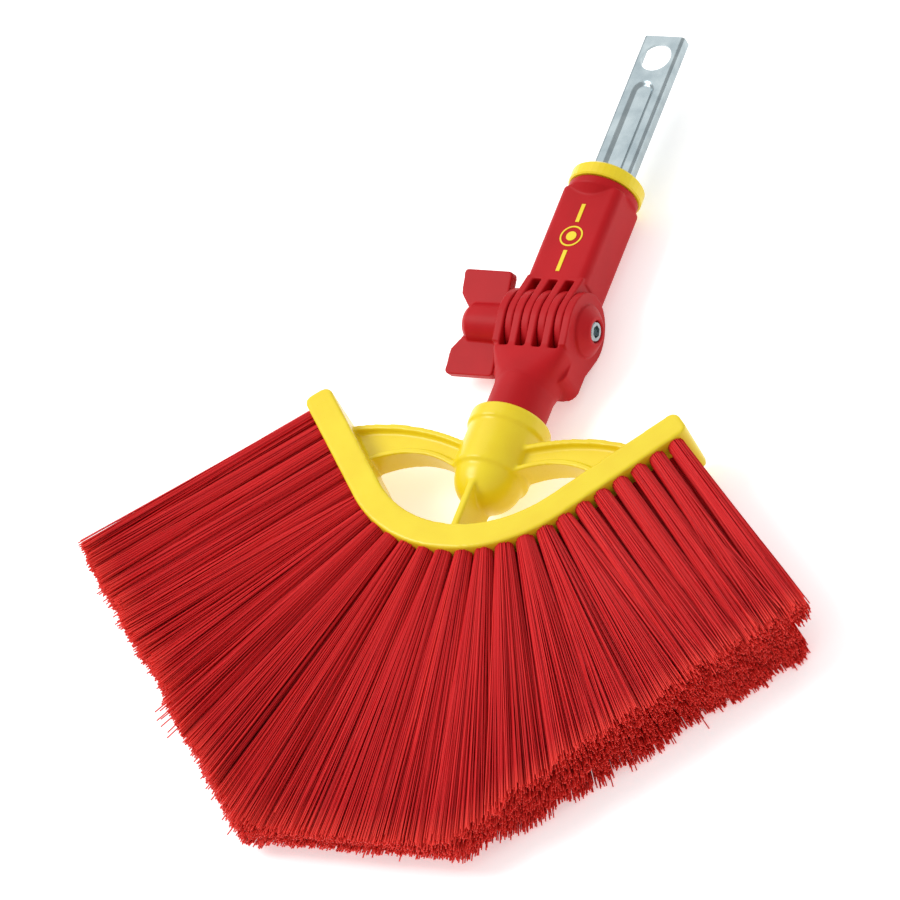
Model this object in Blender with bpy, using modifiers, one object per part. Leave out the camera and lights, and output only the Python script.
"""Fan-shaped push-fit broom head with an angle-adjustable clamp joint.

The head lies on its back: X runs across the fan, Y runs from the bristle tips to the
steel tongue, and +Z is the front face.  Sizes are in millimetres and are turned to
metres where the meshes are made.  Lengths along Y are written from the lowest point of
the band's outer face, and heights from the plane that holds the handle's axis.
"""
import math

import bmesh
import bpy
from mathutils import Matrix, Vector

MM = 0.001
GAP = 0.3

# Placing of the whole head.
FAN_END = 139.0
TONGUE_END = 280.0
CENTRE_Y = (TONGUE_END - FAN_END) / 2
AXIS_HEIGHT = 18.0

# Band that carries the bristles: an arc with a straight leg at each side.
BAND_RADIUS = 69.0
LEG_ANGLE = math.radians(47.5)
LEG_LENGTH = 63.0
BAND_WIDTH = 12.5
BAND_FRONT = 16.5
BAND_BACK = -10.0
BAND_EDGE = 1.2
BAND_CORNER = 2.5

# Bristle tufts: three staggered rows, set in blind holes.
TUFT_SIDE = 12
TUFT_PITCH = 9.35
ROW_OFFSET = 8.4
BAND_MIDDLE = (BAND_FRONT + BAND_BACK) / 2
PEG_RADIUS = 3.0
PEG_DEPTH = 6.0
TRIM_ANGLE = math.radians(46.0)
TRIM_REACH = 182.0
TUFT_ROOT_DEPTH = 11.8
LEG_TIP_FRONT, LEG_TIP_BACK = 14.0, -17.5
MIDDLE_TIP_FRONT, MIDDLE_TIP_BACK = 3.0, -7.0
THIN_FROM, THIN_TO = 35.0, 8.0
TUFT_GAP = 0.6
WEDGE_FOOT = 0.3
WEDGE_ROOM = 0.9

# Hub cup, arms and rib.
HUB_RADIUS = 16.8
COLLAR_RADIUS = 18.0
COLLAR_LOW = 67.0
HUB_TOP = 75.0
DOME_TOP = 45.5
DOME_RADIUS = 15.8
DOME_DROP = 15.0
BORE_RADIUS = 13.8
BORE_FLOOR = 45.0
ARM_HALF_DEPTH = 8.0
ARM_FLANGE = 2.7
ARM_WEB_HALF = 5.0
ARM_LEAN = 0.23
RIB_HALF_WIDTH = 1.7
RIB_BACK, RIB_FRONT = -8.0, 13.0
RIB_TOP = 42.5

# Joint: nine interleaved fingers on one cross bolt.
PIVOT_Y = 125.0
FINGER_PITCH = 4.0
FINGER_RADIUS = 16.5
NECK_FINGER_RADIUS = 16.0
SLOT_FLOOR = 107.6
BLOCK_HALF_WIDTH = 17.85
BLOCK_HALF_DEPTH = 12.0
BLOCK_BOTTOM = 96.0
BLOCK_CORNER = 5.0
STEM_RADIUS = 13.5
# Rings of the stem's flare: height, half width, half depth and how square it is.
FLARE = [(89.0, 13.1, 13.1, 2.0), (95.0, 14.2, 12.9, 2.4), (101.0, 16.2, 12.4, 3.6),
         (107.0, 17.85, 12.0, 7.0), (113.0, 17.85, 12.0, 7.0)]
STEM_END = 46.0
BOLT_RADIUS = 3.0
BOLT_HEAD_RADIUS = 4.6
BOLT_HEAD_LOW = 18.4
BOLT_HEAD_TOP = 22.4
BOLT_TAIL = -37.5
BOSS_RADIUS = 11.4
BOSS_FACE_RADIUS = 6.4
BOSS_END = 22.8

# Clamp knob.
KNOB_INNER = -19.9
KNOB_OUTER = -40.0
KNOB_RADIUS = 9.25
WING_REACH = 23.6
WING_INNER = -22.4
WING_OUTER = -45.7
WING_HALF_THICK = 2.6
WING_TILT = math.radians(18.7)
NUT_FLATS = 10.0
NUT_LENGTH = 5.2

# Neck and tongue.
NECK_HALF_WIDTH = 14.6
NECK_HALF_DEPTH = 11.5
NECK_EDGE = 4.0
NECK_SHOULDER = 192.0
NECK_COLLAR_RADIUS = 15.8
NECK_TOP = 195.7
NECK_SLOT_TOP = 142.5
RING_RADIUS = 16.6
RING_TOP = 202.7
TONGUE_START = 165.5
TONGUE_HALF_WIDTH = 10.0
TONGUE_HALF_DEPTH = 2.7
SHEET = 1.2
LOCK_HOLE_Y = 268.5
LOCK_HOLE_RADIUS = 7.1
BEAD_END = 256.0
BEAD_HALF_WIDTH = 5.6
BEAD_DEPTH = 1.2
SCREW_Y = 186.0


def place(x, y, z):
    """Turn millimetres in the head's own coordinates into metres in the world."""
    return Vector((x, y - CENTRE_Y, z + AXIS_HEIGHT)) * MM


def place_matrix():
    return Matrix.Translation(place(0.0, 0.0, 0.0))


def clear_scene():
    for item in list(bpy.data.objects):
        bpy.data.objects.remove(item, do_unlink=True)


def collection(name):
    made = bpy.data.collections.new(name)
    bpy.context.scene.collection.children.link(made)
    return made


def material(name, colour, roughness, metallic=0.0):
    made = bpy.data.materials.new(name)
    made.use_nodes = True
    shader = made.node_tree.nodes["Principled BSDF"]
    shader.inputs["Base Color"].default_value = (*colour, 1.0)
    shader.inputs["Roughness"].default_value = roughness
    shader.inputs["Metallic"].default_value = metallic
    made.diffuse_color = (*colour, 1.0)
    return made


clear_scene()
PARTS = collection("fan_broom_head")
CUTTERS = collection("cutters")

RED = material("red_polypropylene", (0.552, 0.018, 0.028), 0.38)
YELLOW = material("yellow_polypropylene", (0.888, 0.783, 0.048), 0.36)
BRISTLE = material("red_bristle", (0.515, 0.020, 0.026), 0.55)
STEEL = material("zinc_plated_steel", (0.376, 0.445, 0.456), 0.32, 1.0)


def new_object(name, mesh, where, finish=None):
    made = bpy.data.objects.new(name, mesh)
    where.objects.link(made)
    if finish:
        mesh.materials.clear()
        mesh.materials.append(finish)
    if where is CUTTERS:
        made.hide_render = True
        made.display_type = "WIRE"
    return made


def finish_bmesh(name, shape):
    """Point the faces outwards and turn a bmesh into a mesh."""
    bmesh.ops.recalc_face_normals(shape, faces=shape.faces)
    mesh = bpy.data.meshes.new(name)
    shape.to_mesh(mesh)
    shape.free()
    return mesh


def box_mesh(name, low, high):
    shape = bmesh.new()
    low, high = place(*low), place(*high)
    size = Matrix.Diagonal((*(high - low), 1.0))
    bmesh.ops.create_cube(shape, size=1.0, matrix=Matrix.Translation((low + high) / 2) @ size)
    return finish_bmesh(name, shape)


def add_cylinder(shape, start, end, radius, sides, end_radius=None):
    """Add a closed cylinder or cone between two points given in millimetres."""
    start, end = place(*start), place(*end)
    along = end - start
    turn = along.to_track_quat("Z", "Y").to_matrix().to_4x4()
    top = radius if end_radius is None else end_radius
    bmesh.ops.create_cone(
        shape, cap_ends=True, cap_tris=False, segments=sides, radius1=radius * MM,
        radius2=top * MM, depth=along.length,
        matrix=Matrix.Translation((start + end) / 2) @ turn)


def cylinder_mesh(name, start, end, radius, sides=32):
    shape = bmesh.new()
    add_cylinder(shape, start, end, radius, sides)
    return finish_bmesh(name, shape)


def hex_radius(flats):
    return flats / 2 / math.cos(math.pi / 6)


def evaluated_mesh(made):
    """Mesh of an object with its modifiers applied."""
    bpy.context.view_layer.update()
    graph = bpy.context.evaluated_depsgraph_get()
    return bpy.data.meshes.new_from_object(made.evaluated_get(graph))


def turned(name, profile, origin, axis, where, finish=None, sides=40):
    """Turn a profile of (radius, distance along the axis) pairs, given outer side first."""
    mesh = bpy.data.meshes.new(name + "_profile")
    points = [(radius * MM, 0.0, along * MM) for radius, along in profile]
    mesh.from_pydata(points, [(i, i + 1) for i in range(len(points) - 1)], [])
    guide = new_object(name + "_guide", mesh, CUTTERS)
    screw = guide.modifiers.new("turn", "SCREW")
    screw.axis = "Z"
    screw.steps = sides
    screw.render_steps = sides
    screw.use_merge_vertices = True
    screw.merge_threshold = 0.00001
    solid = evaluated_mesh(guide)
    bpy.data.objects.remove(guide, do_unlink=True)
    turn = Vector(axis).to_track_quat("Z", "Y").to_matrix().to_4x4()
    solid.transform(Matrix.Translation(place(*origin)) @ turn)
    shape = bmesh.new()
    shape.from_mesh(solid)
    bmesh.ops.remove_doubles(shape, verts=shape.verts, dist=0.00001)
    made = new_object(name, finish_bmesh(name, shape), where, finish)
    return made


def lofted(name, rings, where, sides=48):
    """A solid through rings about the handle's axis, each between an ellipse and a box."""
    shape = bmesh.new()
    loops = []
    for y, wide, deep, square in rings:
        loop = []
        for step in range(sides):
            turn = 2 * math.pi * (step + 0.5) / sides
            c, s = math.cos(turn), math.sin(turn)
            reach = (abs(c / wide) ** square + abs(s / deep) ** square) ** (-1.0 / square)
            loop.append(shape.verts.new(place(reach * c, y, reach * s)))
        loops.append(loop)
    for low, high in zip(loops, loops[1:]):
        for i in range(sides):
            j = (i + 1) % sides
            shape.faces.new((low[i], low[j], high[j], high[i]))
    shape.faces.new(loops[0])
    shape.faces.new(loops[-1])
    return new_object(name, finish_bmesh(name, shape), where)


def plate(name, outline, low, high, where, finish=None, across_x=False):
    """Extrude a closed flat outline; it lies in XY, or in YZ when across_x is set."""
    curve = bpy.data.curves.new(name + "_outline", "CURVE")
    curve.dimensions = "2D"
    curve.fill_mode = "BOTH"
    curve.extrude = (high - low) / 2 * MM
    spline = curve.splines.new("POLY")
    spline.points.add(len(outline) - 1)
    for point, (across, along) in zip(spline.points, outline):
        point.co = (across * MM, along * MM, 0.0, 1.0)
    spline.use_cyclic_u = True
    guide = new_object(name + "_guide", curve, CUTTERS)
    solid = evaluated_mesh(guide)
    bpy.data.objects.remove(guide, do_unlink=True)
    middle = (low + high) / 2 * MM
    solid.transform(Matrix.Translation((0.0, 0.0, middle)))
    if across_x:
        # The outline's first axis becomes Y, its second Z, and the thickness X.
        swap = Matrix(((0, 0, 1, 0), (1, 0, 0, 0), (0, 1, 0, 0), (0, 0, 0, 1)))
        solid.transform(swap)
    solid.transform(Matrix.Translation(place(0.0, 0.0, 0.0)))
    shape = bmesh.new()
    shape.from_mesh(solid)
    bmesh.ops.remove_doubles(shape, verts=shape.verts, dist=0.00001)
    return new_object(name, finish_bmesh(name, shape), where, finish)


def bevel(made, width, segments=2, angle=40.0):
    rounding = made.modifiers.new("rounded_edges", "BEVEL")
    rounding.width = width * MM
    rounding.segments = segments
    rounding.limit_method = "ANGLE"
    rounding.angle_limit = math.radians(angle)
    return made


def combine(made, tool, operation="DIFFERENCE"):
    step = made.modifiers.new(tool.name, "BOOLEAN")
    step.operation = operation
    step.solver = "EXACT"
    step.object = tool
    return made


def cut_box(made, name, low, high):
    return combine(made, new_object(name, box_mesh(name, low, high), CUTTERS))


def cut_cylinder(made, name, start, end, radius, sides=32):
    return combine(made, new_object(name, cylinder_mesh(name, start, end, radius, sides), CUTTERS))


def smooth(made, angle=35.0):
    made.data.shade_smooth()
    made.data.set_sharp_from_angle(angle=math.radians(angle))
    return made


def arc(centre, radius, start, end, steps):
    """Points on an arc, with its angles in degrees."""
    points = []
    for step in range(steps + 1):
        turn = math.radians(start + (end - start) * step / steps)
        points.append((centre[0] + radius * math.cos(turn), centre[1] + radius * math.sin(turn)))
    return points


# ---------------------------------------------------------------- band, tufts and their holes

ARC_HALF = BAND_RADIUS * LEG_ANGLE
BAND_HALF = ARC_HALF + LEG_LENGTH


def band_point(along, out):
    """Point at a distance along the band's outer edge and at a distance outwards from it."""
    side = math.copysign(1.0, along)
    turn = min(abs(along) / BAND_RADIUS, LEG_ANGLE)
    straight = max(abs(along) - ARC_HALF, 0.0)
    reach = BAND_RADIUS + out
    x = reach * math.sin(turn) + straight * math.cos(LEG_ANGLE)
    y = BAND_RADIUS - reach * math.cos(turn) + straight * math.sin(LEG_ANGLE)
    return side * x, y


def trimmed_length(along):
    """Bristle length outside the band: cut off along both sides and flat at the far end."""
    turn = min(abs(along) / BAND_RADIUS, LEG_ANGLE)
    x, y = band_point(abs(along), 0.0)
    flat = (FAN_END + y) / math.cos(turn)
    start = x * math.sin(TRIM_ANGLE) + (BAND_RADIUS - y) * math.cos(TRIM_ANGLE)
    side = (TRIM_REACH - start) / math.cos(turn - TRIM_ANGLE)
    return min(flat, side)


def tip_heights(along):
    """Front and back of the fan's trimmed end, which is thin in the middle."""
    share = max(0.0, min(1.0, (abs(along) - THIN_TO) / (THIN_FROM - THIN_TO)))
    share = share * share * (3.0 - 2.0 * share)
    front = MIDDLE_TIP_FRONT + (LEG_TIP_FRONT - MIDDLE_TIP_FRONT) * share
    back = MIDDLE_TIP_BACK + (LEG_TIP_BACK - MIDDLE_TIP_BACK) * share
    return front, back


def band_outline():
    """The band's outline, with rounded ends."""
    corner = BAND_CORNER
    end = BAND_HALF - corner
    outer = [band_point(-ARC_HALF + 2 * ARC_HALF * i / 20, 0.0) for i in range(21)]
    inner = [band_point(ARC_HALF - 2 * ARC_HALF * i / 20, -BAND_WIDTH) for i in range(21)]
    right = [band_point(end + s, t - corner) for s, t in arc((0, 0), corner, 90, 0, 4)]
    right += [band_point(end + s, t - BAND_WIDTH + corner) for s, t in arc((0, 0), corner, 0, -90, 4)]
    left = [band_point(-end - s, t - BAND_WIDTH + corner) for s, t in arc((0, 0), corner, -90, 0, 4)]
    left += [band_point(-end - s, t - corner) for s, t in arc((0, 0), corner, 0, 90, 4)]
    return outer + right + inner + left


def tuft_places():
    """Column number, and the (along, row) of each of its tufts; row 1 is the front one."""
    columns = []
    for number in range(-TUFT_SIDE, TUFT_SIDE + 1):
        along = number * TUFT_PITCH
        if number == 0:
            columns.append((number, [(0.0, 1)]))
            columns.append((number, [(0.0, -1)]))
            continue
        middle = along - math.copysign(TUFT_PITCH / 2, number)
        columns.append((number, [(along, 1), (middle, 0), (along, -1)]))
    return columns


def add_peg(shape, along, row, out, depth, radius, sides=10):
    height = BAND_MIDDLE + row * ROW_OFFSET
    start = band_point(along, out)
    end = band_point(along, -depth)
    add_cylinder(shape, (*end, height), (*start, height), radius, sides)


def tuft_body(name, stations):
    """Wedge-shaped block of bristles through (along, half width, share of the half depth)."""
    shape = bmesh.new()
    rings = []
    for level in (0, 1):
        right, left = [], []
        for along, half, share in stations:
            for offset, row in ((half, right), (-half, left)):
                out = trimmed_length(along + offset) if level else GAP
                height = BAND_MIDDLE + share * TUFT_ROOT_DEPTH
                if level:
                    high, low = tip_heights(along + offset)
                    height = (high + low) / 2 + share * (high - low) / 2
                x, y = band_point(along + offset, out)
                row.append(shape.verts.new(place(x, y, height)))
        rings.append((left, right))
    (low_left, low_right), (top_left, top_right) = rings
    last = len(stations) - 1
    for i in range(last):
        shape.faces.new((low_left[i], low_left[i + 1], low_right[i + 1], low_right[i]))
        shape.faces.new((top_left[i], top_right[i], top_right[i + 1], top_left[i + 1]))
        shape.faces.new((low_left[i], top_left[i], top_left[i + 1], low_left[i + 1]))
        shape.faces.new((low_right[i], low_right[i + 1], top_right[i + 1], top_right[i]))
    shape.faces.new((low_left[0], low_right[0], top_right[0], top_left[0]))
    shape.faces.new((low_left[last], top_left[last], top_right[last], low_right[last]))
    bmesh.ops.triangulate(shape, faces=shape.faces)
    return finish_bmesh(name, shape)


def make_tufts():
    names = []
    for number, tufts in tuft_places():
        name = f"tuft_column_{number + TUFT_SIDE + 1:02d}"
        front, back = tufts[0], tufts[-1]
        half = TUFT_PITCH / 2 - TUFT_GAP / 2
        if len(tufts) == 3:
            stations = [(front[0], half, 1), (tufts[1][0], half, 0), (back[0], half, -1)]
        else:
            # The middle tufts of the two next columns meet at the centre line.
            name += "_front" if front[1] > 0 else "_back"
            near = front[1]
            stations = [(0.0, half - WEDGE_ROOM, near)]
            stations.append((0.0, half * WEDGE_FOOT - WEDGE_ROOM, near * WEDGE_FOOT))
            if near < 0:
                stations.reverse()
        made = new_object(name, tuft_body(name, stations), PARTS, BRISTLE)
        pegs = bmesh.new()
        for along, row in tufts:
            add_peg(pegs, along, row, 1.5, PEG_DEPTH - GAP, PEG_RADIUS)
        tool = new_object(name + "_roots", finish_bmesh(name + "_roots", pegs), CUTTERS)
        combine(made, tool, "UNION")
        names.append(name)
    return names


# ---------------------------------------------------------------- moulded brush head

def arm_top(x):
    u = (x - 17.0) / 51.0
    return 60.5 + 16.3 * u - 13.4 * u * u


def arm_bottom(x):
    u = (x - 17.0) / 29.0
    return 49.0 + 13.4 * u - 10.6 * u * u


def strip(curve, start, end, thick_low, thick_high, steps=10):
    """Closed outline of a flange that follows a curve."""
    stations = [start + (end - start) * i / steps for i in range(steps + 1)]
    upper = [(x, curve(x) + thick_high) for x in stations]
    lower = [(x, curve(x) + thick_low) for x in reversed(stations)]
    return upper + lower


def mirrored(outline, side):
    return [(side * x, y) for x, y in outline]


def make_brush_head():
    head = plate("brush_head", band_outline(), BAND_BACK, BAND_FRONT, PARTS, YELLOW)
    bevel(head, BAND_EDGE)
    profile = [(0.0, HUB_TOP)]
    profile += [(COLLAR_RADIUS - 1.0, HUB_TOP), (COLLAR_RADIUS, HUB_TOP - 1.0)]
    profile += [(COLLAR_RADIUS, COLLAR_LOW + 0.8), (HUB_RADIUS, COLLAR_LOW)]
    profile.append((HUB_RADIUS, DOME_TOP + 1.0))
    profile += [(DOME_RADIUS * x, DOME_TOP + DOME_DROP * y) for x, y in arc((0, 0), 1.0, 0, -90, 8)]
    profile[-1] = (0.0, DOME_TOP - DOME_DROP)
    hub = turned("hub_cup", profile, (0, 0, 0), (0, 1, 0), CUTTERS)
    combine(head, hub, "UNION")
    for side, word in ((1, "right"), (-1, "left")):
        top = mirrored(strip(arm_top, 12.0, 74.0, -ARM_FLANGE, 0.0), side)
        low = mirrored(strip(arm_bottom, 12.0, 58.0, 0.0, ARM_FLANGE), side)
        stations = [12.0, 20.0, 28.0, 36.0, 44.0, 52.0, 57.0]
        web = [(x, arm_bottom(x) + 1.1) for x in stations]
        web += [(x, arm_top(x) - 1.2) for x in (72.0, 62.0, 50.0, 40.0, 30.0, 20.0, 12.0)]
        depth = ARM_HALF_DEPTH
        combine(head, plate(f"{word}_arm_top", top, -depth, depth, CUTTERS), "UNION")
        flange = plate(f"{word}_arm_low", low, -depth, depth, CUTTERS)
        # The lower flange leans, so that the mould opens towards the front.
        lean = Matrix.Identity(4)
        lean[1][2] = -ARM_LEAN
        flange.data.transform(place_matrix() @ lean @ place_matrix().inverted())
        combine(head, flange, "UNION")
        web_tool = plate(f"{word}_arm_web", mirrored(web, side), -ARM_WEB_HALF, ARM_WEB_HALF, CUTTERS)
        combine(head, web_tool, "UNION")
    rib_low = (-RIB_HALF_WIDTH, BAND_WIDTH - 4.0, RIB_BACK)
    rib_high = (RIB_HALF_WIDTH, RIB_TOP, RIB_FRONT)
    rib = new_object("rib_plate", box_mesh("rib_plate", rib_low, rib_high), CUTTERS)
    combine(head, rib, "UNION")
    cut_cylinder(head, "hub_bore", (0, BORE_FLOOR, 0), (0, HUB_TOP + 3, 0), BORE_RADIUS, 36)
    cut_cylinder(head, "hub_pin_hole", (0, 67.0, -25.0), (0, 67.0, -8.0), 2.5 + GAP, 16)
    holes = bmesh.new()
    for _, tufts in tuft_places():
        for along, row in tufts:
            add_peg(holes, along, row, 3.0, PEG_DEPTH, PEG_RADIUS + GAP)
    combine(head, new_object("tuft_holes", finish_bmesh("tuft_holes", holes), CUTTERS))
    return smooth(head)


# ---------------------------------------------------------------- joint

def finger_profile(radius, toward, half_depth, reach):
    """Side outline of the fingers in (Y, Z): a round end and a neck that runs one way."""
    lean = math.degrees(math.asin(min(1.0, (radius - half_depth) / reach)))
    start = 90 - lean
    round_end = arc((0, 0), radius, start, 360 - start, 24)
    points = [(reach, half_depth)] + round_end + [(reach, -half_depth)]
    return [(PIVOT_Y + toward * y, z) for y, z in points]


def finger_slots(made, name, centres, start, end):
    half = FINGER_PITCH / 2 + GAP / 2
    for number, centre in enumerate(centres):
        low = (centre - half, start, -30.0)
        cut_box(made, f"{name}_{number + 1}", low, (centre + half, end, 30.0))


def make_lower_knuckle():
    width = BLOCK_HALF_WIDTH
    profile = finger_profile(FINGER_RADIUS, -1, BLOCK_HALF_DEPTH, 16.0)
    knuckle = plate("lower_knuckle", profile, -width, width, PARTS, RED, across_x=True)
    bevel(knuckle, 0.8)
    low, high = BLOCK_BOTTOM, PIVOT_Y - 10.0
    corner = BLOCK_CORNER
    outline = [(width, high), (-width, high)]
    outline += arc((-width + corner, low + corner), corner, 180, 270, 4)
    outline += arc((width - corner, low + corner), corner, 270, 360, 4)
    depth = BLOCK_HALF_DEPTH
    block = bevel(plate("knuckle_block", outline, -depth, 2.0, CUTTERS), 1.5)
    combine(knuckle, block, "UNION")
    combine(knuckle, lofted("knuckle_flare", FLARE, CUTTERS), "UNION")
    finger_slots(knuckle, "lower_slot", (-12.0, -4.0, 4.0, 12.0), SLOT_FLOOR, PIVOT_Y + 30.0)
    stem = [(0.0, BLOCK_BOTTOM + 6.0), (STEM_RADIUS - 3.0, BLOCK_BOTTOM + 6.0)]
    stem += [(STEM_RADIUS, BLOCK_BOTTOM - 3.0)]
    stem += [(STEM_RADIUS, STEM_END + 1.5), (STEM_RADIUS - 1.5, STEM_END), (0.0, STEM_END)]
    combine(knuckle, turned("stem", stem, (0, 0, 0), (0, 1, 0), CUTTERS, sides=36), "UNION")
    boss = [(0.0, BOSS_END), (BOSS_FACE_RADIUS, BOSS_END), (BOSS_RADIUS, width + 1.2)]
    boss += [(BOSS_RADIUS, width - 1.5), (0.0, width - 1.5)]
    combine(knuckle, turned("bolt_boss", boss, (0, PIVOT_Y, 0), (1, 0, 0), CUTTERS, sides=32), "UNION")
    pocket_start = (BOLT_HEAD_LOW - GAP, PIVOT_Y, 0)
    cut_cylinder(knuckle, "bolt_head_pocket", pocket_start, (BOSS_END + 3, PIVOT_Y, 0), BOLT_HEAD_RADIUS + GAP)
    ends = (-width - 3, PIVOT_Y, 0), (BOLT_HEAD_LOW + 3, PIVOT_Y, 0)
    cut_cylinder(knuckle, "lower_bolt_hole", *ends, BOLT_RADIUS + GAP, 24)
    cut_cylinder(knuckle, "stem_pin_hole", (0, 67.0, -25.0), (0, 67.0, 9.0), 2.5 + GAP, 16)
    return smooth(knuckle)


def make_joint_bolt():
    head = BOLT_HEAD_TOP
    profile = [(0.0, head), (BOLT_HEAD_RADIUS - 0.6, head), (BOLT_HEAD_RADIUS, head - 0.6)]
    profile += [(BOLT_HEAD_RADIUS, BOLT_HEAD_LOW), (BOLT_RADIUS, BOLT_HEAD_LOW)]
    profile += [(BOLT_RADIUS, BOLT_TAIL + 0.8), (BOLT_RADIUS - 0.8, BOLT_TAIL), (0.0, BOLT_TAIL)]
    bolt = turned("joint_bolt", profile, (0, PIVOT_Y, 0), (1, 0, 0), PARTS, STEEL, sides=24)
    ends = (head - 2.5, PIVOT_Y, 0), (head + 2, PIVOT_Y, 0)
    cut_cylinder(bolt, "hex_socket", *ends, hex_radius(5.0), 6)
    return smooth(bolt)


def make_knob_washer():
    start, end = -BLOCK_HALF_WIDTH - GAP, KNOB_INNER + GAP
    washer = new_object(
        "knob_washer", cylinder_mesh("knob_washer", (start, PIVOT_Y, 0), (end, PIVOT_Y, 0), 8.0), PARTS, STEEL)
    ends = (start + 3, PIVOT_Y, 0), (end - 3, PIVOT_Y, 0)
    return smooth(cut_cylinder(washer, "washer_hole", *ends, BOLT_RADIUS + GAP, 24))


def make_wing_knob():
    inner, outer = KNOB_INNER, KNOB_OUTER
    profile = [(0.0, inner), (KNOB_RADIUS - 0.6, inner), (KNOB_RADIUS, inner - 0.6)]
    profile += [(KNOB_RADIUS - 0.4, outer + 2.5), (KNOB_RADIUS - 2.6, outer), (0.0, outer)]
    knob = turned("wing_knob", profile, (0, PIVOT_Y, 0), (1, 0, 0), PARTS, RED, sides=32)
    corner = 3.5
    outline = [(WING_INNER, -8.0), (WING_INNER, 8.0)]
    outline += arc((WING_INNER - corner, WING_REACH - corner), corner, 0, 90, 4)
    outline += arc((WING_OUTER + corner, WING_REACH - corner), corner, 90, 180, 4)
    outline += [(WING_OUTER + 0.6, WING_REACH - 11.0), (outer + 1.5, 4.0)]
    half_turn = [(x, -y) for x, y in reversed(outline[1:])]
    wings = plate("wings", outline[1:] + half_turn, -WING_HALF_THICK, WING_HALF_THICK, CUTTERS)
    bevel(wings, 1.2)
    centre = place(0, 0, 0)
    pivot = place(0, PIVOT_Y, 0)
    turn = Matrix.Rotation(WING_TILT, 4, "X")
    wings.data.transform(Matrix.Translation(pivot) @ turn @ Matrix.Translation(-centre))
    combine(knob, wings, "UNION")
    pocket = (inner + 3, PIVOT_Y, 0), (inner - NUT_LENGTH - 0.8, PIVOT_Y, 0)
    cut_cylinder(knob, "nut_pocket", *pocket, hex_radius(NUT_FLATS + 2 * GAP), 6)
    bore = (inner + 3, PIVOT_Y, 0), (BOLT_TAIL - GAP, PIVOT_Y, 0)
    cut_cylinder(knob, "knob_bore", *bore, BOLT_RADIUS + GAP, 24)
    return smooth(knob)


def make_knob_nut():
    start, end = KNOB_INNER - 0.4, KNOB_INNER - 0.4 - NUT_LENGTH
    mesh = cylinder_mesh("knob_nut", (start, PIVOT_Y, 0), (end, PIVOT_Y, 0), hex_radius(NUT_FLATS), 6)
    nut = new_object("knob_nut", mesh, PARTS, STEEL)
    ends = (start + 3, PIVOT_Y, 0), (end - 3, PIVOT_Y, 0)
    return cut_cylinder(nut, "nut_hole", *ends, BOLT_RADIUS + GAP, 24)


def make_hub_pin():
    mesh = cylinder_mesh("hub_pin", (0, 67.0, -17.4), (0, 67.0, 8.5), 2.5, 16)
    return smooth(new_object("hub_pin", mesh, PARTS, STEEL))


# ---------------------------------------------------------------- neck and tongue

def make_neck_housing():
    reach = NECK_SLOT_TOP - PIVOT_Y + 2.0
    profile = finger_profile(NECK_FINGER_RADIUS, 1, NECK_HALF_DEPTH, reach)
    half = 3 * FINGER_PITCH + FINGER_PITCH / 2 - GAP / 2
    neck = plate("neck_housing", profile, -half, half, PARTS, RED, across_x=True)
    bevel(neck, 0.8)
    low = (-NECK_HALF_WIDTH, NECK_SLOT_TOP + 0.5, -NECK_HALF_DEPTH - 0.2)
    high = (NECK_HALF_WIDTH, NECK_SHOULDER, NECK_HALF_DEPTH + 0.2)
    case = bevel(new_object("neck_case", box_mesh("neck_case", low, high), CUTTERS), NECK_EDGE, 4)
    combine(neck, case, "UNION")
    collar = [(0.0, NECK_TOP), (NECK_COLLAR_RADIUS - 0.5, NECK_TOP), (NECK_COLLAR_RADIUS, NECK_TOP - 0.5)]
    collar += [(NECK_COLLAR_RADIUS, NECK_SHOULDER), (NECK_COLLAR_RADIUS - 5.0, NECK_SHOULDER - 5.0)]
    collar += [(0.0, NECK_SHOULDER - 5.0)]
    combine(neck, turned("neck_collar", collar, (0, 0, 0), (0, 1, 0), CUTTERS), "UNION")
    finger_slots(neck, "upper_slot", (-8.0, 0.0, 8.0), PIVOT_Y - 30.0, NECK_SLOT_TOP)
    ends = (-30, PIVOT_Y, 0), (30, PIVOT_Y, 0)
    cut_cylinder(neck, "upper_bolt_hole", *ends, BOLT_RADIUS + GAP, 24)
    wide, deep = TONGUE_HALF_WIDTH + GAP, TONGUE_HALF_DEPTH + GAP
    cut_box(neck, "tongue_pocket", (-wide, TONGUE_START - GAP, -deep), (wide, NECK_TOP + 3, deep))
    cut_cylinder(neck, "screw_pocket", (0, SCREW_Y, -20.0), (0, SCREW_Y, -10.8), 4.2, 20)
    cut_cylinder(neck, "screw_hole", (0, SCREW_Y, -12.0), (0, SCREW_Y, 9.0), 2.0 + GAP, 16)
    return smooth(neck)


def make_neck_ring():
    profile = [(0.0, RING_TOP), (RING_RADIUS - 1.0, RING_TOP), (RING_RADIUS, RING_TOP - 1.0)]
    low = NECK_TOP + GAP
    profile += [(RING_RADIUS, low + 0.6), (RING_RADIUS - 0.6, low), (0.0, low)]
    ring = turned("neck_ring", profile, (0, 0, 0), (0, 1, 0), PARTS, YELLOW)
    wide, deep = TONGUE_HALF_WIDTH + GAP, TONGUE_HALF_DEPTH + GAP
    cut_box(ring, "ring_slot", (-wide, low - 3, -deep), (wide, RING_TOP + 3, deep))
    return smooth(ring)


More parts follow.
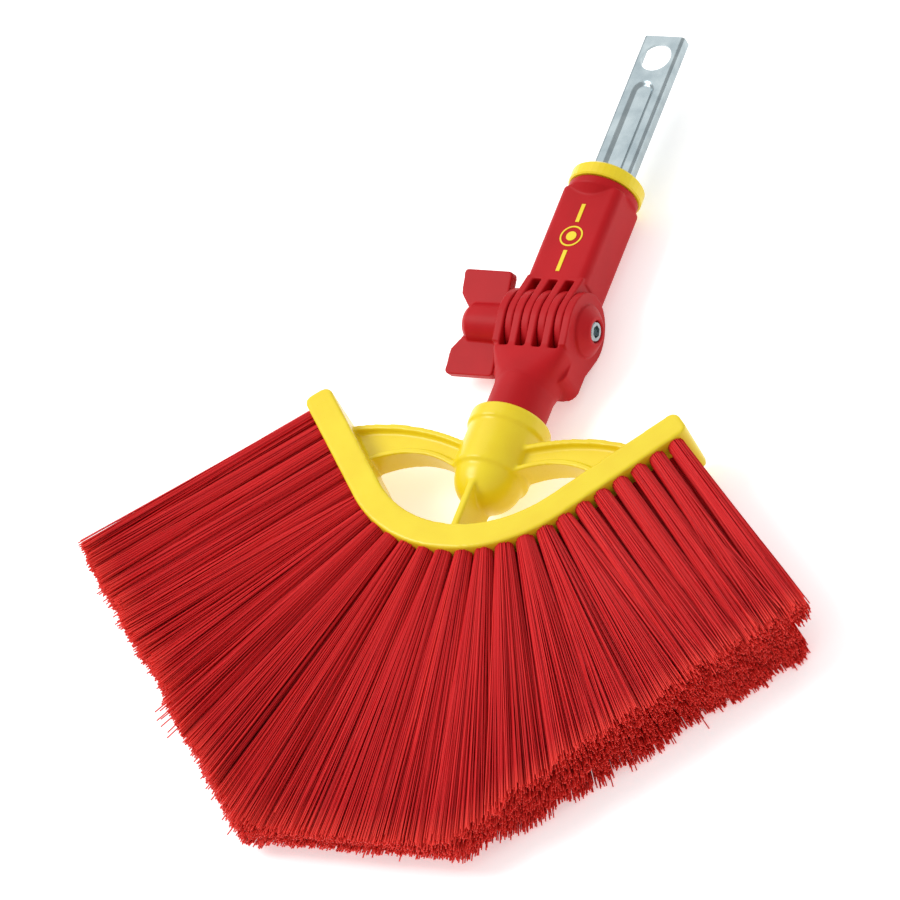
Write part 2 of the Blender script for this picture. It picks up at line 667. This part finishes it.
def tongue_section(bead):
    """Half section of the folded sheet's middle surface, from the bead to the side's edge."""
    wide = TONGUE_HALF_WIDTH - SHEET / 2
    top = TONGUE_HALF_DEPTH - SHEET / 2
    fold = 1.2
    points = [(BEAD_HALF_WIDTH - 1.5, top - bead), (BEAD_HALF_WIDTH, top)]
    points += arc((wide - fold, top - fold), fold, 90, 0, 3)
    points.append((wide, -TONGUE_HALF_DEPTH))
    return points


def make_tongue():
    stations = [(TONGUE_START, BEAD_DEPTH), (BEAD_END - 3.0, BEAD_DEPTH), (BEAD_END - 1.2, BEAD_DEPTH * 0.7)]
    stations += [(BEAD_END, 0.0), (LOCK_HOLE_Y, 0.0), (TONGUE_END, 0.0)]
    half = len(tongue_section(0.0))
    columns, rows = 2 * half - 1, len(stations) - 1
    shape = bmesh.new()
    bmesh.ops.create_grid(shape, x_segments=columns, y_segments=rows, size=0.5)
    for vert in shape.verts:
        column = round((vert.co.x + 0.5) * columns)
        y, bead = stations[round((vert.co.y + 0.5) * rows)]
        side = 1 if column >= half else -1
        x, z = tongue_section(bead)[column - half if side > 0 else half - 1 - column]
        vert.co = place(side * x, y, z)
    sheet = new_object("tongue", finish_bmesh("tongue", shape), PARTS, STEEL)
    wall = sheet.modifiers.new("sheet", "SOLIDIFY")
    wall.thickness = SHEET * MM
    wall.offset = 0.0
    ends = (0, LOCK_HOLE_Y, -6), (0, LOCK_HOLE_Y, 6)
    cut_cylinder(sheet, "lock_hole", *ends, LOCK_HOLE_RADIUS, 30)
    cut_cylinder(sheet, "tongue_screw_hole", (0, SCREW_Y, -6), (0, SCREW_Y, 6), 2.0 + GAP, 16)
    return smooth(sheet)


def make_tongue_screw():
    profile = [(0.0, -14.2), (3.0, -14.2), (3.8, -13.4), (3.8, -11.1), (2.0, -11.1), (2.0, 8.6), (0.0, 8.6)]
    profile.reverse()
    screw = turned("tongue_screw", profile, (0, SCREW_Y, 0), (0, 0, 1), PARTS, STEEL, sides=20)
    cut_box(screw, "driver_slot", (-0.5, SCREW_Y - 5, -16), (0.5, SCREW_Y + 5, -13.2))
    return smooth(screw)


make_brush_head()
make_tufts()
make_lower_knuckle()
make_joint_bolt()
make_knob_washer()
make_wing_knob()
make_knob_nut()
make_hub_pin()
make_neck_housing()
make_neck_ring()
make_tongue()
make_tongue_screw()
bpy.context.view_layer.update()
